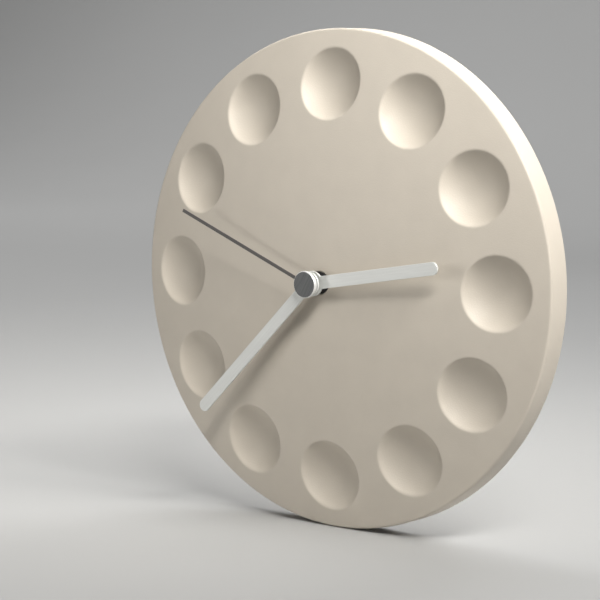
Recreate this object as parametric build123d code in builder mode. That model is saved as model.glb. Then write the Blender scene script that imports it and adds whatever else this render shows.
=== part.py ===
"""Round magnetic fridge clock: a domed and dimpled case, three hands and a quartz movement.

The door is the plane y = 0, the face looks along -Y and twelve o'clock is +Z. Heights are measured
from the door towards the viewer, so a height h lies at y = -h. A centre is a pair (x, z).
"""

import os
from math import cos, radians, sin, sqrt, tan

from build123d import *

os.makedirs("parts", exist_ok=True)

# Fits, all in millimetres
RUNNING_FIT = 0.05
PRESS_FIT = 0.01
SEAT_FIT = 0.1

# Battery cell, laid along X at the bottom of the movement
CELL_RADIUS = 7.1
CELL_LENGTH = 50.5
CELL_NUB_RADIUS = 2.7
CELL_NUB_LENGTH = 1.0
CELL_SLEEVE = 0.2
CELL_DOOR_GAP = 0.9

# Movement case
MOVEMENT_WALL = 1.2
MOVEMENT_CORNER = 4.0
MOVEMENT_REAR = 1.5
TRAIN_HALF = 26.8
SPLIT_HEIGHT = 9.0
CONTACT_SPACE = 1.55
PARTITION = 0.8
BUSH_RADIUS = 3.9
BUSH_PROUD = 0.3
LUG_LENGTH = 8.0
LUG_REACH = 1.2
LUG_DEPTH = 2.0

# Dial case
CASE_RADIUS = 88.6
SIDE_FLARE = 0.15
CASE_WALL = 2.2
DOME_RADIUS = 420.0
RIM_BEVEL = 0.8
REAR_EDGE_HEIGHT = 2.1
SEAT_RISE = 1.3
SEAT_RADIUS = 13.0
WASHER_THICKNESS = 1.0
WASHER_RADIUS = 12.0
DIMPLE_COUNT = 12
DIMPLE_CIRCLE_RADIUS = 69.35
DIMPLE_RADIUS = 12.75
DIMPLE_DEPTH = 5.6
DIMPLE_BACK_ANGLE = 36.0
RIB_THICKNESS = 1.5
RIB_HEIGHT = 5.0
FRAME_GAP = 0.3
HOOK_LENGTH = 7.0
HOOK_BARB = 0.9

# Magnets
MAGNET_COUNT = 4
MAGNET_FRAME_GAP = 2.6
MAGNET_RADIUS = 9.0
MAGNET_THICKNESS = 4.0
MAGNET_LEDGE = 1.5
MAGNET_FLOOR = 3.0

# Hands, with angles in degrees clockwise from twelve
HOUR_LENGTH = 53.3
HOUR_ANGLE = 80.9
HOUR_RISE = 3.7
MINUTE_LENGTH = 69.8
MINUTE_ANGLE = 225.5
MINUTE_RISE = 5.9
SECOND_LENGTH = 61.6
SECOND_ANGLE = 292.5
SECOND_RISE = 7.3
HAND_WIDTH = 4.5
HAND_THICKNESS = 0.6
HAND_BEVEL = 0.12
HAND_EYE_RADIUS = 4.4
HUB_FLANGE = 0.5
HUB_NECK_WALL = 0.7
SECOND_WIDTH = 1.15
SECOND_THICKNESS = 0.4
SECOND_EYE_RADIUS = 2.4
CAP_RADIUS = 4.7
CAP_DEPTH = 1.2
CAP_BEVEL = 0.3

# Tubes and arbors on the hand axis
HOUR_TUBE_RADIUS = 2.5
MINUTE_TUBE_RADIUS = 1.6
SECONDS_ARBOR_RADIUS = 0.5
WHEEL_ARBOR_RADIUS = 0.4

# Gear teeth: addendum and dedendum in modules, widths as shares of half a pitch
ADDENDUM = 0.8
DEDENDUM = 1.1
TIP_SHARE = 0.2
ROOT_SHARE = 0.5

# Wheel levels in the movement
WHEEL_THICKNESS = 0.8
LEVEL_GAP = 0.7
PINION_OVERHANG = 0.25
PLATE_THICKNESS = 1.2

# Gear train: tooth counts and centre distances
ROTOR_TEETH = 6
INTERMEDIATE_TEETH = 30
ROTOR_DISTANCE = 5.4
INTERMEDIATE_LEAVES = 6
SECONDS_TEETH = 36
INTERMEDIATE_DISTANCE = 6.72
SECONDS_LEAVES = 6
THIRD_TEETH = 45
THIRD_LEAVES = 6
CENTRE_TEETH = 48
THIRD_DISTANCE = 9.0
CANNON_TEETH = 9
WORKS_TEETH = 27
WORKS_LEAVES = 7
HOUR_TEETH = 28
WORKS_DISTANCE = 9.2
KNOB_TEETH = 9
MOTOR_DIRECTION = 120.0
THIRD_DIRECTION = -10.0
WORKS_DIRECTION = 180.0

# Setting knob
KNOB_RADIUS = 5.4
KNOB_REAR = 1.0
KNOB_DEPTH = 3.2
KNOB_RECESS_GAP = 0.6
KNOB_STEM_RADIUS = 1.2
KNOB_PIVOT_RADIUS = 0.8
KNOB_GRIPS = 16

# Stepping motor and circuit
ROTOR_MAGNET_RADIUS = 2.2
ROTOR_MAGNET_DEPTH = 2.2
ROTOR_AIR_GAP = 0.5
STATOR_THICKNESS = 1.0
STATOR_BAND = 6.4
STATOR_LEG = 4.5
STATOR_SLIT = 1.0
CORE_LENGTH = 32.0
CORE_WIDTH = 2.6
CORE_THICKNESS = 1.2
COIL_X = -3.0
COIL_EDGE_GAP = 6.3
BOBBIN_LENGTH = 20.0
BOBBIN_FLANGE = 8.4
BOBBIN_FLANGE_THICKNESS = 0.8
BOBBIN_WALL = 0.7
WINDING_RADIUS = 3.8
BOARD_WIDTH = 11.0
BOARD_HEIGHT = 13.0
BOARD_THICKNESS = 1.0
BOARD_EDGE_GAP = 0.6
CHIP_RADIUS = 2.6
CHIP_HEIGHT = 1.1
CHIP_BEVEL = 0.6
CRYSTAL_RADIUS = 1.0
CRYSTAL_LENGTH = 6.0
CONTACT_THICKNESS = 0.4
CONTACT_DEPTH = 3.0
CONTACT_GAP = 0.1
PILLAR_WIDTH = 3.0
PEG_WIDTH = 1.6

# Worked-out heights and places
BASE = (Align.CENTER, Align.CENTER, Align.MIN)
AXIS = (0.0, 0.0)
CELL_HEIGHT = CELL_DOOR_GAP + CELL_RADIUS
MOVEMENT_INSIDE = CELL_HEIGHT + CELL_RADIUS + 2 * SEAT_FIT
MOVEMENT_FRONT = MOVEMENT_INSIDE + MOVEMENT_WALL
MOVEMENT_FLOOR = MOVEMENT_REAR + MOVEMENT_WALL
CHAMBER_HALF = max(CELL_LENGTH / 2 + CONTACT_SPACE, TRAIN_HALF)
MOVEMENT_HALF = CHAMBER_HALF + MOVEMENT_WALL
CELL_Z = SEAT_FIT + CELL_RADIUS - CHAMBER_HALF
BAY_TOP = CELL_Z + CELL_RADIUS + SEAT_FIT
CHAMBER_BOTTOM = BAY_TOP + PARTITION
SEAT_HEIGHT = MOVEMENT_FRONT + WASHER_THICKNESS
APEX_HEIGHT = SEAT_HEIGHT + SEAT_RISE + CASE_WALL
CASE_REAR_RADIUS = CASE_RADIUS + SIDE_FLARE
FRAME_INSIDE = MOVEMENT_HALF + FRAME_GAP
FRAME_OUTSIDE = FRAME_INSIDE + RIB_THICKNESS
CUP_RADIUS = MAGNET_RADIUS + SEAT_FIT + MAGNET_LEDGE
MAGNET_CIRCLE_RADIUS = FRAME_OUTSIDE + MAGNET_FRAME_GAP + CUP_RADIUS
COIL_Z = CHAMBER_HALF - COIL_EDGE_GAP
LEVEL_STEP = WHEEL_THICKNESS + LEVEL_GAP
INTERMEDIATE_LEVEL = MOVEMENT_FLOOR + LEVEL_GAP
SECONDS_LEVEL = INTERMEDIATE_LEVEL + LEVEL_STEP
THIRD_LEVEL = SECONDS_LEVEL + LEVEL_STEP
PLATE_LEVEL = THIRD_LEVEL + LEVEL_STEP
PLATE_TOP = PLATE_LEVEL + PLATE_THICKNESS
CENTRE_LEVEL = PLATE_TOP + LEVEL_GAP
WORKS_LEVEL = CENTRE_LEVEL + LEVEL_STEP
HOUR_LEVEL = WORKS_LEVEL + LEVEL_STEP
PINION_WIDTH = WHEEL_THICKNESS + 2 * PINION_OVERHANG
STATOR_LEVEL = SECONDS_LEVEL + LEVEL_GAP
STATOR_TOP = STATOR_LEVEL + STATOR_THICKNESS
BOARD_LEVEL = STATOR_TOP + 2 * LEVEL_GAP
HOUR_HAND_HEIGHT = APEX_HEIGHT + HOUR_RISE
MINUTE_HAND_HEIGHT = APEX_HEIGHT + MINUTE_RISE
SECOND_HAND_HEIGHT = APEX_HEIGHT + SECOND_RISE


def polar(distance, direction, start=AXIS):
    """Centre that lies a distance from a start, its direction counted from three o'clock to twelve."""
    angle = radians(direction)
    return (start[0] + distance * cos(angle), start[1] + distance * sin(angle))


INTERMEDIATE_CENTRE = polar(INTERMEDIATE_DISTANCE, MOTOR_DIRECTION)
ROTOR_CENTRE = polar(ROTOR_DISTANCE, MOTOR_DIRECTION, INTERMEDIATE_CENTRE)
THIRD_CENTRE = polar(THIRD_DISTANCE, THIRD_DIRECTION)
WORKS_CENTRE = polar(WORKS_DISTANCE, WORKS_DIRECTION)
KNOB_CENTRE = polar(WORKS_DISTANCE, WORKS_DIRECTION, WORKS_CENTRE)
PLATE_POSTS = ((-12.5, -8.5), (-12.5, 5.5), (1.0, -9.0), (15.5, 9.5))
PLATE_LOW = (-14.0, -10.5)
PLATE_HIGH = (17.0, 12.8)
BOARD_CENTRE = (
    CHAMBER_HALF - BOARD_EDGE_GAP - BOARD_WIDTH / 2,
    CHAMBER_HALF - BOARD_EDGE_GAP - BOARD_HEIGHT / 2,
)
BOARD_POSTS = (
    (BOARD_CENTRE[0] - BOARD_WIDTH / 4, BOARD_CENTRE[1] + BOARD_HEIGHT / 4),
    (BOARD_CENTRE[0] + BOARD_WIDTH / 4, BOARD_CENTRE[1] - BOARD_HEIGHT / 4),
)
ARBORS = (
    (AXIS, SECONDS_ARBOR_RADIUS),
    (THIRD_CENTRE, SECONDS_ARBOR_RADIUS),
    (INTERMEDIATE_CENTRE, WHEEL_ARBOR_RADIUS),
    (ROTOR_CENTRE, WHEEL_ARBOR_RADIUS),
)
STATOR_ENDS = (COIL_X - CORE_LENGTH / 2, COIL_X + CORE_LENGTH / 2)
MAGNET_CENTRES = [polar(MAGNET_CIRCLE_RADIUS, 360 * k / MAGNET_COUNT) for k in range(MAGNET_COUNT)]

# A dimple is part of a ball whose centre stands in front of the dome, on the dome's own normal
DIMPLE_BALL = (DIMPLE_RADIUS**2 + DIMPLE_DEPTH**2) / (2 * DIMPLE_DEPTH)
CHORD_DISTANCE = sqrt(DOME_RADIUS**2 - DIMPLE_RADIUS**2)
BALL_DISTANCE = CHORD_DISTANCE + DIMPLE_BALL - DIMPLE_DEPTH
BALL_CIRCLE = BALL_DISTANCE * DIMPLE_CIRCLE_RADIUS / DOME_RADIUS
BALL_HEIGHT = sqrt(BALL_DISTANCE**2 - BALL_CIRCLE**2) + APEX_HEIGHT - DOME_RADIUS
BALL_CENTRES = [polar(BALL_CIRCLE, 360 * k / DIMPLE_COUNT) for k in range(DIMPLE_COUNT)]
BALL_POINTS = [(x, -BALL_HEIGHT, z) for x, z in BALL_CENTRES]

# The back of a dimple is a cone that touches the ball one wall further out
BACK_BALL = DIMPLE_BALL + CASE_WALL
BACK_HEIGHT = BALL_HEIGHT - BACK_BALL
BACK_RADIUS = BACK_BALL * tan(radians(DIMPLE_BACK_ANGLE / 2))
BACK_SPREAD = 1 / tan(radians(DIMPLE_BACK_ANGLE))


def at(centre, height, direction=0.0):
    """Plane facing the viewer at a centre and height, turned from three o'clock towards twelve."""
    angle = radians(direction)
    return Plane(
        origin=(centre[0], -height, centre[1]),
        x_dir=(cos(angle), 0, sin(angle)),
        z_dir=(0, -1, 0),
    )


def post(centre, low, high, radius, mode=Mode.ADD):
    """Round post, or round hole, between two heights."""
    with Locations(at(centre, low).location):
        Cylinder(radius, high - low, align=BASE, mode=mode)


def block(corner, opposite, low, high, mode=Mode.ADD):
    """Upright box between two (x, z) corners and two heights."""
    centre = ((corner[0] + opposite[0]) / 2, (corner[1] + opposite[1]) / 2)
    with Locations(at(centre, low).location):
        Box(
            abs(opposite[0] - corner[0]),
            abs(opposite[1] - corner[1]),
            high - low,
            align=BASE,
            mode=mode,
        )


def pillar(centre, low, high, width, mode=Mode.ADD):
    """Square pillar, or square hole, between two heights."""
    half = width / 2
    corner = (centre[0] - half, centre[1] - half)
    block(corner, (centre[0] + half, centre[1] + half), low, high, mode)


def module_for(distance, teeth, mate):
    """Tooth module that makes two gears mesh at a centre distance."""
    return 2 * distance / (teeth + mate)


def gear(centre, height, teeth, module, turn):
    """Outline of straight-flanked teeth, the first one pointing in the direction turn."""
    pitch_radius = teeth * module / 2
    tip = pitch_radius + ADDENDUM * module
    root = pitch_radius - DEDENDUM * module
    corners = []
    for tooth in range(teeth):
        for radius, share in (
            (root, -ROOT_SHARE),
            (tip, -TIP_SHARE),
            (tip, TIP_SHARE),
            (root, ROOT_SHARE),
        ):
            corners.append(polar(radius, turn + (360 * tooth + 180 * share) / teeth))
    with BuildSketch(at(centre, height)) as outline:
        with BuildLine():
            Polyline(*corners, close=True)
        make_face()
    return outline.sketch


def facing_gap(direction, teeth):
    """Turn that puts a gap between two teeth in a direction."""
    return direction + 180 / teeth


def bowl(inset):
    """Round body under the dome, widening a little to the rear, drawn in by an inset all round."""
    dome = DOME_RADIUS - inset
    edge = CASE_RADIUS - inset
    side_depth = APEX_HEIGHT - DOME_RADIUS + sqrt(dome**2 - edge**2) - REAR_EDGE_HEIGHT
    depth = APEX_HEIGHT - REAR_EDGE_HEIGHT
    rear = CASE_REAR_RADIUS - inset
    with Locations(at(AXIS, REAR_EDGE_HEIGHT).location):
        Cone(rear, rear + (edge - rear) * depth / side_depth, depth, align=BASE)
    with Locations((0, DOME_RADIUS - APEX_HEIGHT, 0)):
        Sphere(dome, mode=Mode.INTERSECT)


# Space behind the dial: the bowl less what the moulding carries on its rear
with BuildPart() as hollow:
    bowl(CASE_WALL)
    back_depth = APEX_HEIGHT - BACK_HEIGHT
    with Locations(*[at(centre, BACK_HEIGHT).location for centre in BALL_CENTRES]):
        Cone(
            BACK_RADIUS,
            BACK_RADIUS + BACK_SPREAD * back_depth,
            back_depth,
            align=BASE,
            mode=Mode.SUBTRACT,
        )
    post(AXIS, SEAT_HEIGHT, APEX_HEIGHT, SEAT_RADIUS, Mode.SUBTRACT)
    for centre in MAGNET_CENTRES:
        post(centre, REAR_EDGE_HEIGHT, APEX_HEIGHT, CUP_RADIUS, Mode.SUBTRACT)
    frame_low = MOVEMENT_FRONT - RIB_HEIGHT / 2
    barb_top = SPLIT_HEIGHT - SEAT_FIT
    barb_low = barb_top - HOOK_BARB
    arm_inside = FRAME_INSIDE + LUG_REACH
    for side in (-1, 1):
        # Square locating frame round the movement
        block(
            (-FRAME_OUTSIDE, side * FRAME_INSIDE),
            (FRAME_OUTSIDE, side * FRAME_OUTSIDE),
            frame_low,
            APEX_HEIGHT,
            Mode.SUBTRACT,
        )
        block(
            (side * FRAME_INSIDE, -FRAME_INSIDE),
            (side * FRAME_OUTSIDE, FRAME_INSIDE),
            frame_low,
            APEX_HEIGHT,
            Mode.SUBTRACT,
        )
        # Snap hook whose barb catches the lug on the movement's flank
        block(
            (side * arm_inside, -HOOK_LENGTH / 2),
            (side * (arm_inside + RIB_THICKNESS), HOOK_LENGTH / 2),
            barb_low,
            APEX_HEIGHT,
            Mode.SUBTRACT,
        )
        block(
            (side * FRAME_INSIDE, -HOOK_LENGTH / 2),
            (side * arm_inside, HOOK_LENGTH / 2),
            barb_low,
            barb_top,
            Mode.SUBTRACT,
        )

# Moulded dial case: dome, dimples, rim and the fixings behind
with BuildPart() as dial_case:
    bowl(0)
    rim = dial_case.edges().filter_by(GeomType.CIRCLE).sort_by(SortBy.LENGTH)[-2]
    chamfer(rim, RIM_BEVEL)
    with Locations(*BALL_POINTS):
        Sphere(DIMPLE_BALL, mode=Mode.SUBTRACT)
    add(hollow.part, mode=Mode.SUBTRACT)
    post(AXIS, SEAT_HEIGHT, APEX_HEIGHT, BUSH_RADIUS + SEAT_FIT, Mode.SUBTRACT)
    cup_reach = MAGNET_CIRCLE_RADIUS + MAGNET_RADIUS
    cup_top = APEX_HEIGHT - DOME_RADIUS + sqrt(DOME_RADIUS**2 - cup_reach**2)
    for centre in MAGNET_CENTRES:
        post(centre, 0, MAGNET_THICKNESS, MAGNET_RADIUS + SEAT_FIT, Mode.SUBTRACT)
        post(
            centre,
            MAGNET_THICKNESS,
            cup_top - MAGNET_FLOOR,
            MAGNET_RADIUS - MAGNET_LEDGE,
            Mode.SUBTRACT,
        )
dial_case.part.label = "dial_case"
export_step(dial_case.part, "parts/dial_case.step")

# Disc magnets that hold the clock on the door
with BuildPart() as door_magnets:
    for centre in MAGNET_CENTRES:
        post(centre, 0, MAGNET_THICKNESS, MAGNET_RADIUS)
door_magnets.part.label = "door_magnets"
export_step(door_magnets.part, "parts/door_magnets.step")

# Rubber washer between the dial's seat and the movement
with BuildPart() as rubber_washer:
    post(AXIS, MOVEMENT_FRONT, SEAT_HEIGHT, WASHER_RADIUS)
    post(AXIS, MOVEMENT_FRONT, SEAT_HEIGHT, BUSH_RADIUS + SEAT_FIT, Mode.SUBTRACT)
rubber_washer.part.label = "rubber_washer"
export_step(rubber_washer.part, "parts/rubber_washer.step")

# Front half of the movement case, with the neck that passes through the dial
with BuildPart() as movement_front_case:
    with BuildSketch(at(AXIS, SPLIT_HEIGHT)):
        RectangleRounded(2 * MOVEMENT_HALF, 2 * MOVEMENT_HALF, MOVEMENT_CORNER)
    extrude(amount=MOVEMENT_FRONT - SPLIT_HEIGHT)
    for side in (-1, 1):
        block(
            (side * MOVEMENT_HALF, -LUG_LENGTH / 2),
            (side * (MOVEMENT_HALF + LUG_REACH), LUG_LENGTH / 2),
            SPLIT_HEIGHT,
            SPLIT_HEIGHT + LUG_DEPTH,
        )
    block(
        (-CHAMBER_HALF, CHAMBER_BOTTOM),
        (CHAMBER_HALF, CHAMBER_HALF),
        SPLIT_HEIGHT,
        MOVEMENT_INSIDE,
        Mode.SUBTRACT,
    )
    block(
        (-CHAMBER_HALF, -CHAMBER_HALF),
        (CHAMBER_HALF, BAY_TOP),
        SPLIT_HEIGHT,
        MOVEMENT_INSIDE,
        Mode.SUBTRACT,
    )
    hour_wheel_stop = HOUR_LEVEL + WHEEL_THICKNESS + 2 * SEAT_FIT
    post(AXIS, hour_wheel_stop, APEX_HEIGHT + BUSH_PROUD, BUSH_RADIUS)
    post(
        AXIS,
        hour_wheel_stop,
        APEX_HEIGHT + BUSH_PROUD,
        HOUR_TUBE_RADIUS + RUNNING_FIT,
        Mode.SUBTRACT,
    )
    post(WORKS_CENTRE, PLATE_TOP + 2 * SEAT_FIT, MOVEMENT_INSIDE, WHEEL_ARBOR_RADIUS)
    knob_pivot_low = WORKS_LEVEL + WHEEL_THICKNESS + LEVEL_GAP
    post(KNOB_CENTRE, knob_pivot_low, MOVEMENT_INSIDE, KNOB_PIVOT_RADIUS + MOVEMENT_WALL)
    post(
        KNOB_CENTRE,
        knob_pivot_low,
        MOVEMENT_INSIDE,
        KNOB_PIVOT_RADIUS + RUNNING_FIT,
        Mode.SUBTRACT,
    )
movement_front_case.part.label = "movement_front_case"
export_step(movement_front_case.part, "parts/movement_front_case.step")

# Rear half of the movement case, with the open cell bay and the bearings
with BuildPart() as movement_rear_case:
    with BuildSketch(at(AXIS, MOVEMENT_REAR)):
        RectangleRounded(2 * MOVEMENT_HALF, 2 * MOVEMENT_HALF, MOVEMENT_CORNER)
    extrude(amount=SPLIT_HEIGHT - MOVEMENT_REAR)
    block(
        (-CHAMBER_HALF, CHAMBER_BOTTOM),
        (CHAMBER_HALF, CHAMBER_HALF),
        MOVEMENT_FLOOR,
        SPLIT_HEIGHT,
        Mode.SUBTRACT,
    )
    block(
        (-CHAMBER_HALF, -CHAMBER_HALF),
        (CHAMBER_HALF, BAY_TOP),
        MOVEMENT_REAR,
        SPLIT_HEIGHT,
        Mode.SUBTRACT,
    )
    for centre in PLATE_POSTS:
        pillar(centre, MOVEMENT_FLOOR, PLATE_LEVEL, PILLAR_WIDTH)
        pillar(centre, PLATE_LEVEL, PLATE_TOP, PEG_WIDTH)
    for centre in BOARD_POSTS:
        pillar(centre, MOVEMENT_FLOOR, BOARD_LEVEL, PILLAR_WIDTH)
    for end, inward in zip(STATOR_ENDS, (1, -1)):
        for z in (COIL_Z, ROTOR_CENTRE[1]):
            foot = (end + inward * STATOR_LEG / 2, z)
            pillar(foot, MOVEMENT_FLOOR, STATOR_LEVEL, PILLAR_WIDTH)
    for centre, radius in ARBORS:
        post(
            centre,
            MOVEMENT_REAR + MOVEMENT_WALL / 2,
            MOVEMENT_FLOOR,
            radius + RUNNING_FIT,
            Mode.SUBTRACT,
        )
    recess_radius = KNOB_RADIUS + KNOB_RECESS_GAP
    recess_top = KNOB_REAR + KNOB_DEPTH + 2 * SEAT_FIT
    post(KNOB_CENTRE, MOVEMENT_REAR, recess_top + MOVEMENT_WALL, recess_radius + MOVEMENT_WALL)
    post(KNOB_CENTRE, MOVEMENT_REAR, recess_top, recess_radius, Mode.SUBTRACT)
    post(
        KNOB_CENTRE,
        recess_top,
        recess_top + MOVEMENT_WALL,
        KNOB_STEM_RADIUS + RUNNING_FIT,
        Mode.SUBTRACT,
    )
    # Slots in the bay wall that pass the contact strips
    strip_x = CELL_LENGTH / 2 + CONTACT_GAP + CONTACT_THICKNESS / 2
    strip_half = CONTACT_THICKNESS / 2 + SEAT_FIT
    for side in (-1, 1):
        block(
            (side * strip_x - strip_half, BAY_TOP),
            (side * strip_x + strip_half, CHAMBER_BOTTOM),
            MOVEMENT_REAR + MOVEMENT_WALL,
            SPLIT_HEIGHT,
            Mode.SUBTRACT,
        )
movement_rear_case.part.label = "movement_rear_case"
export_step(movement_rear_case.part, "parts/movement_rear_case.step")

# Plate between the two levels of the train
with BuildPart() as middle_plate:
    block(PLATE_LOW, PLATE_HIGH, PLATE_LEVEL, PLATE_TOP)
    for centre in PLATE_POSTS:
        pillar(centre, PLATE_LEVEL, PLATE_TOP, PEG_WIDTH + 2 * RUNNING_FIT, Mode.SUBTRACT)
    for centre, radius in ARBORS:
        post(centre, PLATE_LEVEL, PLATE_TOP, radius + RUNNING_FIT, Mode.SUBTRACT)
middle_plate.part.label = "middle_plate"
export_step(middle_plate.part, "parts/middle_plate.step")

# Rotor: a pinion moulded with its arbor, and the ring magnet pressed on it
rotor_module = module_for(ROTOR_DISTANCE, ROTOR_TEETH, INTERMEDIATE_TEETH)
pivot_low = MOVEMENT_FLOOR - MOVEMENT_WALL / 4
pivot_high = PLATE_TOP - PLATE_THICKNESS / 4
rotor_magnet_low = STATOR_LEVEL + STATOR_THICKNESS / 2 - ROTOR_MAGNET_DEPTH / 2
with BuildPart() as rotor_pinion:
    post(ROTOR_CENTRE, pivot_low, pivot_high, WHEEL_ARBOR_RADIUS)
    extrude(
        gear(
            ROTOR_CENTRE,
            INTERMEDIATE_LEVEL - PINION_OVERHANG,
            ROTOR_TEETH,
            rotor_module,
            MOTOR_DIRECTION + 180,
        ),
        amount=PINION_WIDTH,
    )
rotor_pinion.part.label = "rotor_pinion"
export_step(rotor_pinion.part, "parts/rotor_pinion.step")

with BuildPart() as rotor_magnet:
    post(ROTOR_CENTRE, rotor_magnet_low, rotor_magnet_low + ROTOR_MAGNET_DEPTH, ROTOR_MAGNET_RADIUS)
    post(
        ROTOR_CENTRE,
        rotor_magnet_low,
        rotor_magnet_low + ROTOR_MAGNET_DEPTH,
        WHEEL_ARBOR_RADIUS + PRESS_FIT,
        Mode.SUBTRACT,
    )
rotor_magnet.part.label = "rotor_magnet"
export_step(rotor_magnet.part, "parts/rotor_magnet.step")

# Intermediate wheel, driven by the rotor and driving the seconds wheel
seconds_module = module_for(INTERMEDIATE_DISTANCE, INTERMEDIATE_LEAVES, SECONDS_TEETH)
with BuildPart() as intermediate_wheel:
    post(INTERMEDIATE_CENTRE, pivot_low, pivot_high, WHEEL_ARBOR_RADIUS)
    extrude(
        gear(
            INTERMEDIATE_CENTRE,
            INTERMEDIATE_LEVEL,
            INTERMEDIATE_TEETH,
            rotor_module,
            facing_gap(MOTOR_DIRECTION, INTERMEDIATE_TEETH),
        ),
        amount=WHEEL_THICKNESS,
    )
    extrude(
        gear(
            INTERMEDIATE_CENTRE,
            SECONDS_LEVEL - PINION_OVERHANG,
            INTERMEDIATE_LEAVES,
            seconds_module,
            MOTOR_DIRECTION + 180,
        ),
        amount=PINION_WIDTH,
    )
intermediate_wheel.part.label = "intermediate_wheel"
export_step(intermediate_wheel.part, "parts/intermediate_wheel.step")

# Seconds arbor, the steel pin that carries the second hand
with BuildPart() as seconds_arbor:
    post(AXIS, pivot_low, SECOND_HAND_HEIGHT + SECOND_THICKNESS, SECONDS_ARBOR_RADIUS)
seconds_arbor.part.label = "seconds_arbor"
export_step(seconds_arbor.part, "parts/seconds_arbor.step")

# Seconds wheel and pinion, pressed on the arbor
third_module = module_for(THIRD_DISTANCE, SECONDS_LEAVES, THIRD_TEETH)
with BuildPart() as seconds_wheel:
    extrude(
        gear(
            AXIS,
            SECONDS_LEVEL,
            SECONDS_TEETH,
            seconds_module,
            facing_gap(MOTOR_DIRECTION, SECONDS_TEETH),
        ),
        amount=WHEEL_THICKNESS,
    )
    extrude(
        gear(
            AXIS,
            SECONDS_LEVEL + WHEEL_THICKNESS,
            SECONDS_LEAVES,
            third_module,
            THIRD_DIRECTION,
        ),
        amount=LEVEL_STEP + PINION_OVERHANG,
    )
    post(
        AXIS,
        SECONDS_LEVEL,
        PLATE_LEVEL,
        SECONDS_ARBOR_RADIUS + PRESS_FIT,
        Mode.SUBTRACT,
    )
seconds_wheel.part.label = "seconds_wheel"
export_step(seconds_wheel.part, "parts/seconds_wheel.step")

# Third wheel, its arbor passing the middle plate to the pinion in front
centre_module = module_for(THIRD_DISTANCE, THIRD_LEAVES, CENTRE_TEETH)
with BuildPart() as third_wheel:
    post(THIRD_CENTRE, pivot_low, CENTRE_LEVEL + PINION_WIDTH, SECONDS_ARBOR_RADIUS)
    extrude(
        gear(
            THIRD_CENTRE,
            THIRD_LEVEL,
            THIRD_TEETH,
            third_module,
            facing_gap(THIRD_DIRECTION + 180, THIRD_TEETH),
        ),
        amount=WHEEL_THICKNESS,
    )
    extrude(
        gear(
            THIRD_CENTRE,
            CENTRE_LEVEL - PINION_OVERHANG,
            THIRD_LEAVES,
            centre_module,
            THIRD_DIRECTION + 180,
        ),
        amount=PINION_WIDTH,
    )
third_wheel.part.label = "third_wheel"
export_step(third_wheel.part, "parts/third_wheel.step")

# Centre wheel, a friction fit on the minute tube
with BuildPart() as centre_wheel:
    extrude(
        gear(
            AXIS,
            CENTRE_LEVEL,
            CENTRE_TEETH,
            centre_module,
            facing_gap(THIRD_DIRECTION, CENTRE_TEETH),
        ),
        amount=WHEEL_THICKNESS,
    )
    post(
        AXIS,
        CENTRE_LEVEL,
        CENTRE_LEVEL + WHEEL_THICKNESS,
        MINUTE_TUBE_RADIUS + PRESS_FIT,
        Mode.SUBTRACT,
    )
centre_wheel.part.label = "centre_wheel"
export_step(centre_wheel.part, "parts/centre_wheel.step")

# Minute tube with its cannon pinion and the shoulder that grips the centre wheel
cannon_module = module_for(WORKS_DISTANCE, CANNON_TEETH, WORKS_TEETH)
clutch_shoulder = CENTRE_LEVEL + WHEEL_THICKNESS
with BuildPart() as minute_tube:
    post(AXIS, PLATE_TOP + 2 * SEAT_FIT, MINUTE_HAND_HEIGHT + HAND_THICKNESS, MINUTE_TUBE_RADIUS)
    post(AXIS, clutch_shoulder, WORKS_LEVEL - PINION_OVERHANG, HOUR_TUBE_RADIUS)
    extrude(
        gear(
            AXIS,
            WORKS_LEVEL - PINION_OVERHANG,
            CANNON_TEETH,
            cannon_module,
            WORKS_DIRECTION,
        ),
        amount=PINION_WIDTH,
    )
    post(
        AXIS,
        PLATE_TOP,
        MINUTE_HAND_HEIGHT + HAND_THICKNESS,
        SECONDS_ARBOR_RADIUS + RUNNING_FIT,
        Mode.SUBTRACT,
    )
minute_tube.part.label = "minute_tube"
export_step(minute_tube.part, "parts/minute_tube.step")

# Minute works wheel, which turns the hour wheel and meets the setting knob
hour_module = module_for(WORKS_DISTANCE, WORKS_LEAVES, HOUR_TEETH)
works_turn = facing_gap(WORKS_DIRECTION + 180, WORKS_TEETH)
with BuildPart() as minute_works_wheel:
    extrude(
        gear(WORKS_CENTRE, WORKS_LEVEL, WORKS_TEETH, cannon_module, works_turn),
        amount=WHEEL_THICKNESS,
    )
    extrude(
        gear(
            WORKS_CENTRE,
            WORKS_LEVEL + WHEEL_THICKNESS,
            WORKS_LEAVES,
            hour_module,
            WORKS_DIRECTION + 180,
        ),
        amount=LEVEL_STEP + PINION_OVERHANG,
    )
    post(
        WORKS_CENTRE,
        WORKS_LEVEL,
        MOVEMENT_INSIDE,
        WHEEL_ARBOR_RADIUS + RUNNING_FIT,
        Mode.SUBTRACT,
    )
minute_works_wheel.part.label = "minute_works_wheel"
export_step(minute_works_wheel.part, "parts/minute_works_wheel.step")

# Hour wheel and its tube, which carries the hour hand
with BuildPart() as hour_wheel:
    extrude(
        gear(
            AXIS,
            HOUR_LEVEL,
            HOUR_TEETH,
            hour_module,
            facing_gap(WORKS_DIRECTION, HOUR_TEETH),
        ),
        amount=WHEEL_THICKNESS,
    )
    post(AXIS, HOUR_LEVEL, HOUR_HAND_HEIGHT + HAND_THICKNESS, HOUR_TUBE_RADIUS)
    post(
        AXIS,
        HOUR_LEVEL,
        HOUR_HAND_HEIGHT + HAND_THICKNESS,
        MINUTE_TUBE_RADIUS + RUNNING_FIT,
        Mode.SUBTRACT,
    )
hour_wheel.part.label = "hour_wheel"
export_step(hour_wheel.part, "parts/hour_wheel.step")

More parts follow.
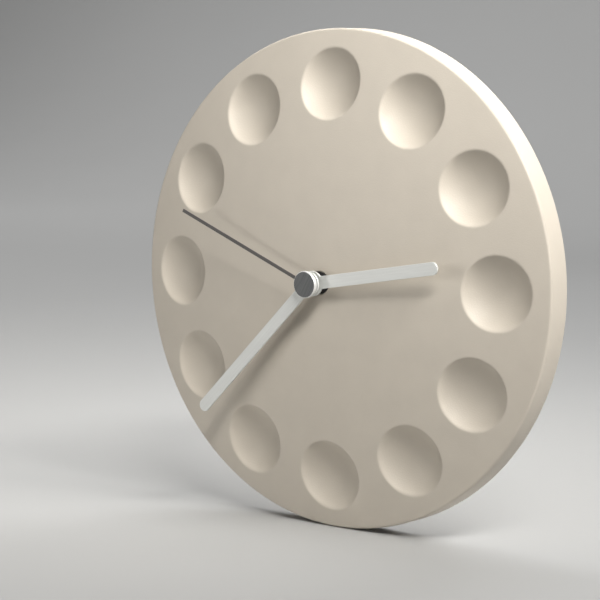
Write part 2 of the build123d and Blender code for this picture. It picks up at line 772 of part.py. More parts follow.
# Setting knob, its ridged grip let into the rear and its pinion on the minute works wheel
knob_shoulder = knob_pivot_low - 2 * SEAT_FIT
with BuildPart() as setting_knob:
    grip_module = KNOB_RADIUS / (KNOB_GRIPS / 2 + ADDENDUM)
    extrude(
        gear(KNOB_CENTRE, KNOB_REAR, KNOB_GRIPS, grip_module, WORKS_DIRECTION),
        amount=KNOB_DEPTH,
    )
    post(KNOB_CENTRE, KNOB_REAR + KNOB_DEPTH, knob_shoulder, KNOB_STEM_RADIUS)
    post(KNOB_CENTRE, knob_shoulder, MOVEMENT_INSIDE - SEAT_FIT, KNOB_PIVOT_RADIUS)
    extrude(
        gear(
            KNOB_CENTRE,
            WORKS_LEVEL - PINION_OVERHANG,
            KNOB_TEETH,
            cannon_module,
            facing_gap(WORKS_DIRECTION + 180, KNOB_TEETH),
        ),
        amount=PINION_WIDTH,
    )
setting_knob.part.label = "setting_knob"
export_step(setting_knob.part, "parts/setting_knob.step")


def stator(end, inner, name):
    """Iron plate from one end of the coil core to its side of the rotor."""
    leg = end + STATOR_LEG if end < inner else end - STATOR_LEG
    band_low = ROTOR_CENTRE[1] - STATOR_BAND / 2
    band_high = ROTOR_CENTRE[1] + STATOR_BAND / 2
    with BuildPart() as plate:
        block((end, band_low), (inner, band_high), STATOR_LEVEL, STATOR_TOP)
        block((end, band_low), (leg, COIL_Z + CORE_WIDTH / 2), STATOR_LEVEL, STATOR_TOP)
        post(
            ROTOR_CENTRE,
            STATOR_LEVEL,
            STATOR_TOP,
            ROTOR_MAGNET_RADIUS + ROTOR_AIR_GAP,
            Mode.SUBTRACT,
        )
    plate.part.label = name
    export_step(plate.part, f"parts/{name}.step")


stator(STATOR_ENDS[0], ROTOR_CENTRE[0] - STATOR_SLIT / 2, "stator_left")
stator(STATOR_ENDS[1], ROTOR_CENTRE[0] + STATOR_SLIT / 2, "stator_right")

# Iron core of the coil, lying on both stator plates
with BuildPart() as coil_core:
    block(
        (STATOR_ENDS[0], COIL_Z - CORE_WIDTH / 2),
        (STATOR_ENDS[1], COIL_Z + CORE_WIDTH / 2),
        STATOR_TOP,
        STATOR_TOP + CORE_THICKNESS,
    )
coil_core.part.label = "coil_core"
export_step(coil_core.part, "parts/coil_core.step")

# Bobbin and winding of the coil, drawn along X from the bobbin's left flange
COIL_HEIGHT = STATOR_TOP + CORE_THICKNESS / 2
coil_plane = Plane(
    origin=(COIL_X - BOBBIN_LENGTH / 2, -COIL_HEIGHT, COIL_Z),
    x_dir=(0, -1, 0),
    z_dir=(1, 0, 0),
)
core_hole = (CORE_THICKNESS + 2 * RUNNING_FIT, CORE_WIDTH + 2 * RUNNING_FIT)
sleeve_size = (core_hole[0] + 2 * BOBBIN_WALL, core_hole[1] + 2 * BOBBIN_WALL)
with BuildPart() as coil_bobbin:
    with BuildSketch(coil_plane):
        Rectangle(*sleeve_size)
    extrude(amount=BOBBIN_LENGTH)
    with BuildSketch(coil_plane, coil_plane.offset(BOBBIN_LENGTH - BOBBIN_FLANGE_THICKNESS)):
        Rectangle(BOBBIN_FLANGE, BOBBIN_FLANGE)
    extrude(amount=BOBBIN_FLANGE_THICKNESS)
    with BuildSketch(coil_plane):
        Rectangle(*core_hole)
    extrude(amount=BOBBIN_LENGTH, mode=Mode.SUBTRACT)
coil_bobbin.part.label = "coil_bobbin"
export_step(coil_bobbin.part, "parts/coil_bobbin.step")

with BuildPart() as coil_winding:
    with BuildSketch(coil_plane.offset(BOBBIN_FLANGE_THICKNESS)):
        Circle(WINDING_RADIUS)
        Rectangle(sleeve_size[0] + 2 * PRESS_FIT, sleeve_size[1] + 2 * PRESS_FIT, mode=Mode.SUBTRACT)
    extrude(amount=BOBBIN_LENGTH - 2 * BOBBIN_FLANGE_THICKNESS)
coil_winding.part.label = "coil_winding"
export_step(coil_winding.part, "parts/coil_winding.step")

# Circuit board, its sealed chip and its quartz crystal
board_top = BOARD_LEVEL + BOARD_THICKNESS
with BuildPart() as circuit_board:
    with BuildSketch(at(BOARD_CENTRE, BOARD_LEVEL)):
        Rectangle(BOARD_WIDTH, BOARD_HEIGHT)
    extrude(amount=BOARD_THICKNESS)
circuit_board.part.label = "circuit_board"
export_step(circuit_board.part, "parts/circuit_board.step")

with BuildPart() as chip_seal:
    post(BOARD_POSTS[1], board_top, board_top + CHIP_HEIGHT, CHIP_RADIUS)
    chamfer(chip_seal.faces().sort_by(Axis.Y)[0].edges(), CHIP_BEVEL)
chip_seal.part.label = "chip_seal"
export_step(chip_seal.part, "parts/chip_seal.step")

crystal_plane = Plane(
    origin=(BOARD_POSTS[0][0], -(board_top + CRYSTAL_RADIUS), BOARD_CENTRE[1]),
    x_dir=(1, 0, 0),
    z_dir=(0, 0, 1),
)
with BuildPart() as quartz_crystal:
    with Locations(crystal_plane.location):
        Cylinder(CRYSTAL_RADIUS, CRYSTAL_LENGTH)
quartz_crystal.part.label = "quartz_crystal"
export_step(quartz_crystal.part, "parts/quartz_crystal.step")

# Bent contact strips from the ends of the cell to the board
strip_low = BOARD_LEVEL - CONTACT_DEPTH
leaf_end = CELL_Z - CELL_RADIUS / 2
board_reach = BOARD_CENTRE[1] - BOARD_HEIGHT / 2 + CONTACT_DEPTH
with BuildPart() as positive_contact:
    with BuildSketch(at(AXIS, strip_low)):
        with BuildLine():
            Line((strip_x, leaf_end), (strip_x, board_reach))
        trace(line_width=CONTACT_THICKNESS)
    extrude(amount=CONTACT_DEPTH)
positive_contact.part.label = "positive_contact"
export_step(positive_contact.part, "parts/positive_contact.step")

strip_z = CHAMBER_BOTTOM + CONTACT_THICKNESS
strip_turn = BOARD_CENTRE[0] - BOARD_WIDTH / 6
with BuildPart() as negative_contact:
    with BuildSketch(at(AXIS, strip_low)):
        with BuildLine():
            Polyline(
                (-strip_x, leaf_end),
                (-strip_x, strip_z),
                (strip_turn, strip_z),
                (strip_turn, board_reach),
            )
        trace(line_width=CONTACT_THICKNESS)
    extrude(amount=CONTACT_DEPTH)
negative_contact.part.label = "negative_contact"
export_step(negative_contact.part, "parts/negative_contact.step")

# Battery cell: steel can with its positive nub, and the plastic sleeve round it
cell_plane = Plane(origin=(-CELL_LENGTH / 2, -CELL_HEIGHT, CELL_Z), x_dir=(0, -1, 0), z_dir=(1, 0, 0))
can_length = CELL_LENGTH - CELL_NUB_LENGTH
with BuildPart() as battery_cell:
    with BuildSketch(cell_plane):
        Circle(CELL_RADIUS - CELL_SLEEVE)
    extrude(amount=can_length)
    with BuildSketch(cell_plane.offset(can_length)):
        Circle(CELL_NUB_RADIUS)
    extrude(amount=CELL_NUB_LENGTH)
battery_cell.part.label = "battery_cell"
export_step(battery_cell.part, "parts/battery_cell.step")

with BuildPart() as battery_sleeve:
    with BuildSketch(cell_plane):
        Circle(CELL_RADIUS)
        Circle(CELL_RADIUS - CELL_SLEEVE + PRESS_FIT, mode=Mode.SUBTRACT)
    extrude(amount=can_length)
battery_sleeve.part.label = "battery_sleeve"
export_step(battery_sleeve.part, "parts/battery_sleeve.step")


def broad_hand(name, height, angle, length, tube_radius):
    """Round-ended blade with an eye at the axis, and the flanged hub that holds it on its tube."""
    neck_radius = tube_radius + HUB_NECK_WALL
    with BuildPart() as blade:
        with BuildSketch(at(AXIS, height, 90 - angle)):
            with Locations(((length - HAND_WIDTH / 2) / 2, 0)):
                SlotCenterToCenter(length - HAND_WIDTH / 2, HAND_WIDTH)
            Circle(HAND_EYE_RADIUS)
            Circle(neck_radius + PRESS_FIT, mode=Mode.SUBTRACT)
        extrude(amount=HAND_THICKNESS)
        front = blade.faces().sort_by(Axis.Y)[0]
        chamfer(front.outer_wire().edges(), HAND_BEVEL)
    blade.part.label = name
    export_step(blade.part, f"parts/{name}.step")

    with BuildPart() as hub:
        post(AXIS, height - HUB_FLANGE, height, HAND_EYE_RADIUS - HUB_FLANGE)
        post(AXIS, height, height + HAND_THICKNESS, neck_radius)
        post(
            AXIS,
            height - HUB_FLANGE,
            height + HAND_THICKNESS,
            tube_radius + PRESS_FIT,
            Mode.SUBTRACT,
        )
    hub.part.label = f"{name}_hub"
    export_step(hub.part, f"parts/{name}_hub.step")


broad_hand("hour_hand", HOUR_HAND_HEIGHT, HOUR_ANGLE, HOUR_LENGTH, HOUR_TUBE_RADIUS)
broad_hand("minute_hand", MINUTE_HAND_HEIGHT, MINUTE_ANGLE, MINUTE_LENGTH, MINUTE_TUBE_RADIUS)

# Second hand, a narrow blade with a small eye
with BuildPart() as second_hand:
    with BuildSketch(at(AXIS, SECOND_HAND_HEIGHT, 90 - SECOND_ANGLE)):
        with Locations((SECOND_LENGTH / 2, 0)):
            Rectangle(SECOND_LENGTH, SECOND_WIDTH)
        Circle(SECOND_EYE_RADIUS)
        Circle(SECONDS_ARBOR_RADIUS + PRESS_FIT, mode=Mode.SUBTRACT)
    extrude(amount=SECOND_THICKNESS)
second_hand.part.label = "second_hand"
export_step(second_hand.part, "parts/second_hand.step")

# Round cap that covers the hub, standing on the second hand
cap_low = SECOND_HAND_HEIGHT + SECOND_THICKNESS
with BuildPart() as second_hand_cap:
    post(AXIS, cap_low, cap_low + CAP_DEPTH, CAP_RADIUS)
    chamfer(second_hand_cap.faces().sort_by(Axis.Y)[0].edges(), CAP_BEVEL)
second_hand_cap.part.label = "second_hand_cap"
export_step(second_hand_cap.part, "parts/second_hand_cap.step")
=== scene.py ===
"""Magnetic fridge clock: a domed cream case with twelve dimples, three hands and a quartz movement.

The door is the plane y = 0, the face looks along -Y and twelve o'clock is +Z. All sizes are in metres.
"""

from math import radians

import bmesh
import bpy
import numpy as np
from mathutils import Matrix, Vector


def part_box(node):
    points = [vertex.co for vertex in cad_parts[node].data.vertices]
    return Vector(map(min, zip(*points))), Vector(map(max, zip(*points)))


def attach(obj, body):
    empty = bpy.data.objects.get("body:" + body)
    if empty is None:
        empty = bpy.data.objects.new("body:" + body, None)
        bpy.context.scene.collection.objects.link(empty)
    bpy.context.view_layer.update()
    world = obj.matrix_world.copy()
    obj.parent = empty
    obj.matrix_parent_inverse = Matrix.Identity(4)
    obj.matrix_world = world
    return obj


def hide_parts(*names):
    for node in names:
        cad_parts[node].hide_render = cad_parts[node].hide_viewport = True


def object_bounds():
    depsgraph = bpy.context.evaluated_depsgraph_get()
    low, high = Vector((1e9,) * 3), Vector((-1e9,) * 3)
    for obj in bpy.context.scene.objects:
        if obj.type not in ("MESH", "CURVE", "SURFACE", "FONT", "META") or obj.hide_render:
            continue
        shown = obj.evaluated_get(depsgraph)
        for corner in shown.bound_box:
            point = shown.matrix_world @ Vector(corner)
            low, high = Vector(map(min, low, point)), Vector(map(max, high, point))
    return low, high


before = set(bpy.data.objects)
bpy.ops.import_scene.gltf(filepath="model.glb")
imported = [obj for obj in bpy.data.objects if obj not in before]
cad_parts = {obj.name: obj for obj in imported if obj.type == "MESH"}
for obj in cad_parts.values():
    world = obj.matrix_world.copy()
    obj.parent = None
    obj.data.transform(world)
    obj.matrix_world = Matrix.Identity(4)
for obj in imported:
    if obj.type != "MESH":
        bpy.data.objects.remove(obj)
cad_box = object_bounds()

# Dial case: one injection moulding in cream plastic with a fine matt texture, an even wall thick.
# Its dome carries twelve ball-shaped dimples as hour marks, and its rear the cups, frame and hooks
# that hold the magnets and the movement.
case_low, case_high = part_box("dial_case")
APEX_HEIGHT = -case_low.y
REAR_HEIGHT = -case_high.y
WIDEST_RADIUS = case_high.x
WALL = 0.0022
DOME_RADIUS = 0.420
SIDE_FLARE = 0.00015
RIM_ROUNDING = 0.0010
REAR_ROUNDING = 0.0004
HOLE_RADIUS = 0.0040
HOLE_ROUNDING = 0.0003
SEAT_RADIUS = 0.013
SEAT_HEIGHT = 0.0175
DIMPLE_COUNT = 12
DIMPLE_CIRCLE_RADIUS = 0.06935
DIMPLE_RADIUS = 0.01275
DIMPLE_DEPTH = 0.0056
DIMPLE_SOFTNESS = 0.0005
DIMPLE_BACK_ANGLE = radians(36)
BELT_INNER_RADIUS = 0.0535
BELT_OUTER_RADIUS = 0.0845

dimple_ball = (DIMPLE_RADIUS**2 + DIMPLE_DEPTH**2) / (2 * DIMPLE_DEPTH)
dimple_chord = np.sqrt(DOME_RADIUS**2 - DIMPLE_RADIUS**2)
dimple_tilt = np.arcsin(DIMPLE_CIRCLE_RADIUS / DOME_RADIUS)
ball_distance = dimple_chord + dimple_ball - DIMPLE_DEPTH
ball_radius_out = ball_distance * np.sin(dimple_tilt)
ball_height = ball_distance * np.cos(dimple_tilt) + APEX_HEIGHT - DOME_RADIUS
back_ball = dimple_ball + WALL


def dome_height(radius, inset):
    """Height of the dome, a sphere about a point far behind the door, drawn in by an inset."""
    return APEX_HEIGHT - DOME_RADIUS + np.sqrt((DOME_RADIUS - inset) ** 2 - radius**2)


def soft_lower(a, b, softness):
    """Lower of two heights, with the ridge where they meet rounded off over the softness."""
    overlap = np.maximum(softness - np.abs(a - b), 0.0)
    return np.minimum(a, b) - overlap**2 / (4 * softness)


def face_height(x, z):
    """Front of a sector: the dome, cut by the ball whose centre stands in front of it at three o'clock."""
    offset = np.minimum(np.hypot(x - ball_radius_out, z), dimple_ball)
    ball = ball_height - np.sqrt(dimple_ball**2 - offset**2)
    return soft_lower(dome_height(np.hypot(x, z), 0.0), ball, DIMPLE_SOFTNESS)


def back_height(x, z):
    """Back of a sector: the inner dome, and the drafted cone that backs the dimple one wall further in."""
    offset = np.hypot(x - ball_radius_out, z)
    flat = back_ball * np.tan(DIMPLE_BACK_ANGLE / 2)
    cone = ball_height - back_ball + np.maximum(offset - flat, 0.0) * np.tan(DIMPLE_BACK_ANGLE)
    return soft_lower(dome_height(np.hypot(x, z), WALL), cone, DIMPLE_SOFTNESS)


def grid_quads(rows, columns, closed):
    """Corner indices of a rows by columns grid of quads, its last column joined to the first if closed."""
    index = np.arange(rows * columns).reshape(rows, columns)
    if closed:
        index = np.hstack([index, index[:, :1]])
    return np.stack([index[:-1, :-1], index[:-1, 1:], index[1:, 1:], index[1:, :-1]], -1).reshape(-1, 4)


def spun(profile, angles, centre=(0.0, 0.0)):
    """A (radius, height) profile carried round an axis along Y: point = (r cos a, -height, r sin a)."""
    radius, height = np.asarray(profile).T
    x = centre[0] + radius[:, None] * np.cos(angles)
    z = centre[1] + radius[:, None] * np.sin(angles)
    y = np.broadcast_to(-height[:, None], x.shape)
    points = np.stack([x, y, z], -1).reshape(-1, 3)
    return points, grid_quads(len(radius), len(angles), True)


def bent(start, corner, end, radius, steps):
    """Arc of a given radius in the corner of a bent line: its middle lies on the line that halves the
    corner, and the radius swings in even steps from the first leg to the second."""
    start, corner, end = (np.asarray(p, float) for p in (start, corner, end))
    a = (start - corner) / np.linalg.norm(start - corner)
    b = (end - corner) / np.linalg.norm(end - corner)
    half = np.arccos(np.clip(a @ b, -1, 1)) / 2
    middle = corner + (a + b) / np.linalg.norm(a + b) * radius / np.sin(half)
    first = corner + a * radius / np.tan(half) - middle
    last = corner + b * radius / np.tan(half) - middle
    share = np.linspace(0, 1, steps)[:, None]
    sweep = np.pi - 2 * half
    return middle + (first * np.sin((1 - share) * sweep) + last * np.sin(share * sweep)) / np.sin(sweep)


def blocks(boxes):
    """Six-sided blocks from rows of (low x, high x, low z, high z, low height, high height)."""
    boxes = np.asarray(boxes, float)
    pick = np.array([(i, j, k) for k in (4, 5) for j in (2, 3) for i in (0, 1)])
    corners = boxes[:, pick]
    points = np.stack([corners[..., 0], -corners[..., 2], corners[..., 1]], -1).reshape(-1, 3)
    sides = np.array([(0, 1, 3, 2), (4, 6, 7, 5), (0, 4, 5, 1), (2, 3, 7, 6), (0, 2, 6, 4), (1, 5, 7, 3)])
    quads = (sides[None] + 8 * np.arange(len(boxes))[:, None, None]).reshape(-1, 4)
    return points, quads


WELD_DISTANCE = 1e-8


def surface(name, patches, sharp_angle):
    """One mesh object from patches of points and quads: equal points are welded, and a quad with two
    equal corners becomes a triangle. Faces are then turned outwards, shell by shell."""
    counts = np.cumsum([0] + [len(points) for points, _ in patches])
    points = np.vstack([points for points, _ in patches])
    quads = np.vstack([quads + start for (_, quads), start in zip(patches, counts)])
    grid = np.round(points / WELD_DISTANCE).astype(np.int64)
    _, first, weld = np.unique(grid, axis=0, return_index=True, return_inverse=True)
    quads = weld.reshape(-1)[quads]
    keep = quads != np.roll(quads, 1, axis=1)
    quads, keep = quads[keep.sum(1) > 2], keep[keep.sum(1) > 2]
    mesh = bpy.data.meshes.new(name)
    mesh.vertices.add(len(first))
    mesh.vertices.foreach_set("co", points[first].ravel())
    mesh.loops.add(int(keep.sum()))
    mesh.loops.foreach_set("vertex_index", quads[keep])
    mesh.polygons.add(len(quads))
    mesh.polygons.foreach_set("loop_start", np.cumsum(keep.sum(1)) - keep.sum(1))
    mesh.update(calc_edges=True)
    shell = bmesh.new()
    shell.from_mesh(mesh)
    bmesh.ops.recalc_face_normals(shell, faces=shell.faces)
    shell.to_mesh(mesh)
    shell.free()
    mesh.polygons.foreach_set("use_smooth", np.ones(len(mesh.polygons), bool))
    mesh.set_sharp_from_angle(angle=sharp_angle)
    piece = bpy.data.objects.new(name, mesh)
    bpy.context.scene.collection.objects.link(piece)
    return piece


# The belt round the dimples is laid out as rings about each dimple that open into its sector's border
RING_SHARES = np.array(
    [0, 0.12, 0.25, 0.38, 0.5, 0.6, 0.7, 0.78, 0.85, 0.9, 0.94, 0.97, 0.99, 1.01, 1.03, 1.06, 1.1]
)
BORDER_SHARES = np.array([0.25, 0.55, 1.0])
INNER_STEPS = 12
FLANK_STEPS = 14
OUTER_STEPS = 22
half_sector = np.pi / DIMPLE_COUNT
inner_turns = np.linspace(-half_sector, half_sector, INNER_STEPS, endpoint=False)
outer_turns = np.linspace(-half_sector, half_sector, OUTER_STEPS, endpoint=False)
flank_radii = np.linspace(BELT_INNER_RADIUS, BELT_OUTER_RADIUS, FLANK_STEPS, endpoint=False)
flank_back = np.linspace(BELT_OUTER_RADIUS, BELT_INNER_RADIUS, FLANK_STEPS, endpoint=False)
border_radius = np.concatenate(
    [
        np.full(INNER_STEPS, BELT_INNER_RADIUS),
        flank_radii,
        np.full(OUTER_STEPS, BELT_OUTER_RADIUS),
        flank_back,
    ]
)
border_turn = np.concatenate(
    [
        inner_turns,
        np.full(FLANK_STEPS, half_sector),
        np.linspace(half_sector, -half_sector, OUTER_STEPS, endpoint=False),
        np.full(FLANK_STEPS, -half_sector),
    ]
)
border_x = border_radius * np.cos(border_turn)
border_z = border_radius * np.sin(border_turn)
edge_centre = dimple_chord * np.sin(dimple_tilt)
edge_along = DIMPLE_RADIUS * np.cos(dimple_tilt)
ring_turn = np.arctan2(border_z / DIMPLE_RADIUS, (border_x - edge_centre) / edge_along)
ring_x = edge_centre + RING_SHARES[:, None] * edge_along * np.cos(ring_turn)
ring_z = RING_SHARES[:, None] * DIMPLE_RADIUS * np.sin(ring_turn)
belt_x = np.vstack([ring_x, ring_x[-1] + BORDER_SHARES[:, None] * (border_x - ring_x[-1])])
belt_z = np.vstack([ring_z, ring_z[-1] + BORDER_SHARES[:, None] * (border_z - ring_z[-1])])
belt_quads = grid_quads(*belt_x.shape, True)
sector_starts = 2 * half_sector * np.arange(DIMPLE_COUNT)


def belt(height_at):
    """All sectors of the belt: plan points of one sector turned in steps round the axis, their height a
    function of the place in the sector."""
    height = height_at(belt_x, belt_z)
    turn = sector_starts[:, None, None]
    x = belt_x * np.cos(turn) - belt_z * np.sin(turn)
    z = belt_x * np.sin(turn) + belt_z * np.cos(turn)
    points = np.stack([x, np.broadcast_to(-height, x.shape), z], -1).reshape(-1, 3)
    quads = (belt_quads[None] + belt_x.size * np.arange(DIMPLE_COUNT)[:, None, None]).reshape(-1, 4)
    return points, quads


def dome_line(start, end, inset, steps):
    """Stretch of the dome's section between two radii, as (radius, height) rows."""
    radius = np.linspace(start, end, steps)
    return np.stack([radius, dome_height(radius, inset)], -1)


# Section through the rim, from the belt over the rounded edge and down the side to the inner dome
RIM_STEPS = 9
EDGE_STEPS = 5
RIM_LEG_STEPS = 5
RIM_INNER_STEPS = 4
FACE_STEPS = 16
FACE_INNER_STEPS = 12
corner_radius = WIDEST_RADIUS - SIDE_FLARE
rim_corner = (corner_radius, dome_height(corner_radius, 0.0))
rear_corner = (WIDEST_RADIUS, REAR_HEIGHT)
rear_inside = (WIDEST_RADIUS - WALL, REAR_HEIGHT)
inner_corner = (corner_radius - WALL, dome_height(corner_radius - WALL, WALL))
leg_start = corner_radius - 2 * RIM_ROUNDING
leg = (leg_start, dome_height(leg_start, 0.0))
rim_arc = bent(leg, rim_corner, rear_corner, RIM_ROUNDING, RIM_STEPS)
rim_section = np.vstack(
    [
        dome_line(BELT_OUTER_RADIUS, rim_arc[0, 0], 0.0, RIM_LEG_STEPS)[:-1],
        rim_arc,
        bent(rim_corner, rear_corner, rear_inside, REAR_ROUNDING, EDGE_STEPS),
        bent(rear_corner, rear_inside, inner_corner, REAR_ROUNDING, EDGE_STEPS),
        inner_corner,
        dome_line(corner_radius - WALL, BELT_OUTER_RADIUS, WALL, RIM_INNER_STEPS)[1:],
    ]
)
hole_corner = (HOLE_RADIUS, dome_height(HOLE_RADIUS, 0.0))
seat_corner = (HOLE_RADIUS, SEAT_HEIGHT)
hole_arc = bent((SEAT_RADIUS, hole_corner[1]), hole_corner, seat_corner, HOLE_ROUNDING, EDGE_STEPS)
centre_section = np.vstack(
    [
        dome_line(BELT_INNER_RADIUS, hole_arc[0, 0], 0.0, FACE_STEPS)[:-1],
        hole_arc,
        seat_corner,
        (SEAT_RADIUS, SEAT_HEIGHT),
        dome_line(SEAT_RADIUS, BELT_INNER_RADIUS, WALL, FACE_INNER_STEPS),
    ]
)
rim_angles = (sector_starts[:, None] + outer_turns).ravel()
centre_angles = (sector_starts[:, None] + inner_turns).ravel()

# Fixings behind: a cup for each magnet, the square frame round the movement and two snap hooks
magnet_low, magnet_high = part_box("door_magnets")
movement_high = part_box("movement_front_case")[1]
MAGNET_COUNT = 4
MAGNET_RADIUS = 0.009
MAGNET_DEPTH = magnet_high.y - magnet_low.y
CUP_WALL = 0.0016
CUP_CLEARANCE = 0.0001
CUP_LEDGE = 0.0015
CUP_FLOOR = 0.003
CUP_STEPS = 72
FRAME_GAP = 0.0003
FRAME_THICKNESS = 0.0015
FRAME_LOW = 0.014
FRAME_SIDE_STEPS = 8
HOOK_LENGTH = 0.007
HOOK_LOW = 0.008
HOOK_CATCH = 0.0089
DIAL_SHARP_ANGLE = radians(40)
magnet_circle = magnet_high.x - MAGNET_RADIUS
magnet_turns = np.arange(MAGNET_COUNT) * 2 * np.pi / MAGNET_COUNT
cup_angles = np.linspace(0, 2 * np.pi, CUP_STEPS, endpoint=False)
pocket_radius = MAGNET_RADIUS + CUP_CLEARANCE
cup_radius = pocket_radius - CUP_CLEARANCE + CUP_WALL
core_radius = MAGNET_RADIUS - CUP_LEDGE
core_top = dome_height(magnet_circle + MAGNET_RADIUS, 0.0) - CUP_FLOOR
cup_section = [
    (0.0, core_top),
    (core_radius, core_top),
    (core_radius, MAGNET_DEPTH),
    (pocket_radius, MAGNET_DEPTH),
    (pocket_radius, REAR_HEIGHT),
    (cup_radius, REAR_HEIGHT),
    (cup_radius, APEX_HEIGHT),
    (0.0, APEX_HEIGHT),
]


def into_wall(patch):
    """The same patch, with what would pass through the dome stopped halfway through its wall."""
    points, quads = patch
    limit = dome_height(np.hypot(points[:, 0], points[:, 2]), WALL / 2)
    height = np.minimum(-points[:, 1], limit)
    return np.stack([points[:, 0], -height, points[:, 2]], -1), quads


def square_frame(inside, thickness, low, high, steps):
    """A rectangle carried round a square path: path = turn divided by the larger of |cos| and |sin|."""
    angle = np.linspace(0, 2 * np.pi, 4 * steps, endpoint=False) + np.pi / 4
    path = np.stack([np.cos(angle), np.sin(angle)]) / np.maximum(abs(np.cos(angle)), abs(np.sin(angle)))
    half = np.array([inside, inside + thickness, inside + thickness, inside, inside])
    height = np.array([low, low, high, high, low])
    x, z = half[:, None] * path[0], half[:, None] * path[1]
    points = np.stack([x, np.broadcast_to(-height[:, None], x.shape), z], -1).reshape(-1, 3)
    return points, grid_quads(len(half), len(angle), True)


frame_inside = movement_high.z + FRAME_GAP
arm_inside = movement_high.x + FRAME_GAP
hook_ends = (-HOOK_LENGTH / 2, HOOK_LENGTH / 2)
hook_blocks = [
    (arm_inside, arm_inside + FRAME_THICKNESS, *hook_ends, HOOK_LOW, APEX_HEIGHT),
    (frame_inside, arm_inside, *hook_ends, HOOK_LOW, HOOK_CATCH),
    (-arm_inside - FRAME_THICKNESS, -arm_inside, *hook_ends, HOOK_LOW, APEX_HEIGHT),
    (-arm_inside, -frame_inside, *hook_ends, HOOK_LOW, HOOK_CATCH),
]
cup_centres = magnet_circle * np.stack([np.cos(magnet_turns), np.sin(magnet_turns)], -1)
cups = [into_wall(spun(cup_section, cup_angles, centre)) for centre in cup_centres]
dial = surface(
    "dial",
    [
        belt(face_height),
        belt(back_height),
        spun(rim_section, rim_angles),
        spun(centre_section, centre_angles),
        *cups,
        into_wall(square_frame(frame_inside, FRAME_THICKNESS, FRAME_LOW, APEX_HEIGHT, FRAME_SIDE_STEPS)),
        into_wall(blocks(hook_blocks)),
    ],
    DIAL_SHARP_ANGLE,
)
FINE_DETAIL = 2.0
BROAD_DETAIL = 4.0


def grain_group():
    """Shader group: a fine height for bumps, and a tone, broader by a factor, for colour and gloss."""
    group = bpy.data.node_groups.new("grain", "ShaderNodeTree")
    group.interface.new_socket("Vector", in_out="INPUT", socket_type="NodeSocketVector")
    group.interface.new_socket("Scale", in_out="INPUT", socket_type="NodeSocketFloat")
    group.interface.new_socket("Breadth", in_out="INPUT", socket_type="NodeSocketFloat")
    group.interface.new_socket("Height", in_out="OUTPUT", socket_type="NodeSocketFloat")
    group.interface.new_socket("Tone", in_out="OUTPUT", socket_type="NodeSocketFloat")
    entry = group.nodes.new("NodeGroupInput")
    result = group.nodes.new("NodeGroupOutput")
    fine = group.nodes.new("ShaderNodeTexNoise")
    fine.inputs["Detail"].default_value = FINE_DETAIL
    coarser = group.nodes.new("ShaderNodeMath")
    coarser.operation = "DIVIDE"
    broad = group.nodes.new("ShaderNodeTexNoise")
    broad.inputs["Detail"].default_value = BROAD_DETAIL
    group.links.new(entry.outputs["Vector"], fine.inputs["Vector"])
    group.links.new(entry.outputs["Scale"], fine.inputs["Scale"])
    group.links.new(entry.outputs["Scale"], coarser.inputs[0])
    group.links.new(entry.outputs["Breadth"], coarser.inputs[1])
    group.links.new(entry.outputs["Vector"], broad.inputs["Vector"])
    group.links.new(coarser.outputs[0], broad.inputs["Scale"])
    group.links.new(fine.outputs["Fac"], result.inputs["Height"])
    group.links.new(broad.outputs["Fac"], result.inputs["Tone"])
    return group


def finish(
    name, colours, roughness, scale, depth, metallic=0.0, stretch=(1.0, 1.0, 1.0), turn=0.0, breadth=20.0
):
    """Material of a piece: the grain's tone carries its colour and roughness between two values, and the
    grain's height stands up by the depth. A stretch draws the grain out, turned about the hand axis."""
    material = bpy.data.materials.new(name)
    material.use_nodes = True
    nodes, links = material.node_tree.nodes, material.node_tree.links
    shader = nodes["Principled BSDF"]
    shader.inputs["Metallic"].default_value = metallic
    place = nodes.new("ShaderNodeTexCoord")
    lay = nodes.new("ShaderNodeMapping")
    lay.vector_type = "TEXTURE"
    lay.inputs["Rotation"].default_value = (0.0, turn, 0.0)
    lay.inputs["Scale"].default_value = stretch
    grain = nodes.new("ShaderNodeGroup")
    grain.node_tree = GRAIN
    grain.inputs["Scale"].default_value = scale
    grain.inputs["Breadth"].default_value = breadth
    shade = nodes.new("ShaderNodeMix")
    shade.data_type = "RGBA"
    shade.inputs["A"].default_value = (*colours[0], 1.0)
    shade.inputs["B"].default_value = (*colours[1], 1.0)
    gloss = nodes.new("ShaderNodeMapRange")
    gloss.inputs["To Min"].default_value = roughness[0]
    gloss.inputs["To Max"].default_value = roughness[1]
    bump = nodes.new("ShaderNodeBump")
    bump.inputs["Distance"].default_value = depth
    links.new(place.outputs["Object"], lay.inputs["Vector"])
    links.new(lay.outputs["Vector"], grain.inputs["Vector"])
    links.new(grain.outputs["Tone"], shade.inputs["Factor"])
    links.new(grain.outputs["Tone"], gloss.inputs["Value"])
    links.new(grain.outputs["Height"], bump.inputs["Height"])
    links.new(shade.outputs["Result"], shader.inputs["Base Color"])
    links.new(gloss.outputs["Result"], shader.inputs["Roughness"])
    links.new(bump.outputs["Normal"], shader.inputs["Normal"])
    return material


GRAIN = grain_group()
CREAM = ((0.60, 0.545, 0.468), (0.66, 0.60, 0.515))
case_plastic = finish("case plastic", CREAM, roughness=(0.5, 0.62), scale=2200.0, depth=0.00004)
dial.data.materials.append(case_plastic)
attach(dial, "clock_case")
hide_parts("dial_case")


# Door magnets: four sintered discs, nickel plated, pressed into the cups so that they stand out behind
# the rear edge and bear on the door. Their plating is smooth with a slight orange peel.
def dress(material, *names):
    """Gives CAD nodes one material, in place of the one they come with."""
    for name in names:
        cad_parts[name].data.materials.clear()
        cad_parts[name].data.materials.append(material)


NICKEL = ((0.60, 0.58, 0.54), (0.68, 0.66, 0.62))
magnet_nickel = finish(
    "magnet nickel", NICKEL, roughness=(0.22, 0.34), scale=900.0, depth=0.000004, metallic=1.0
)
dress(magnet_nickel, "door_magnets")

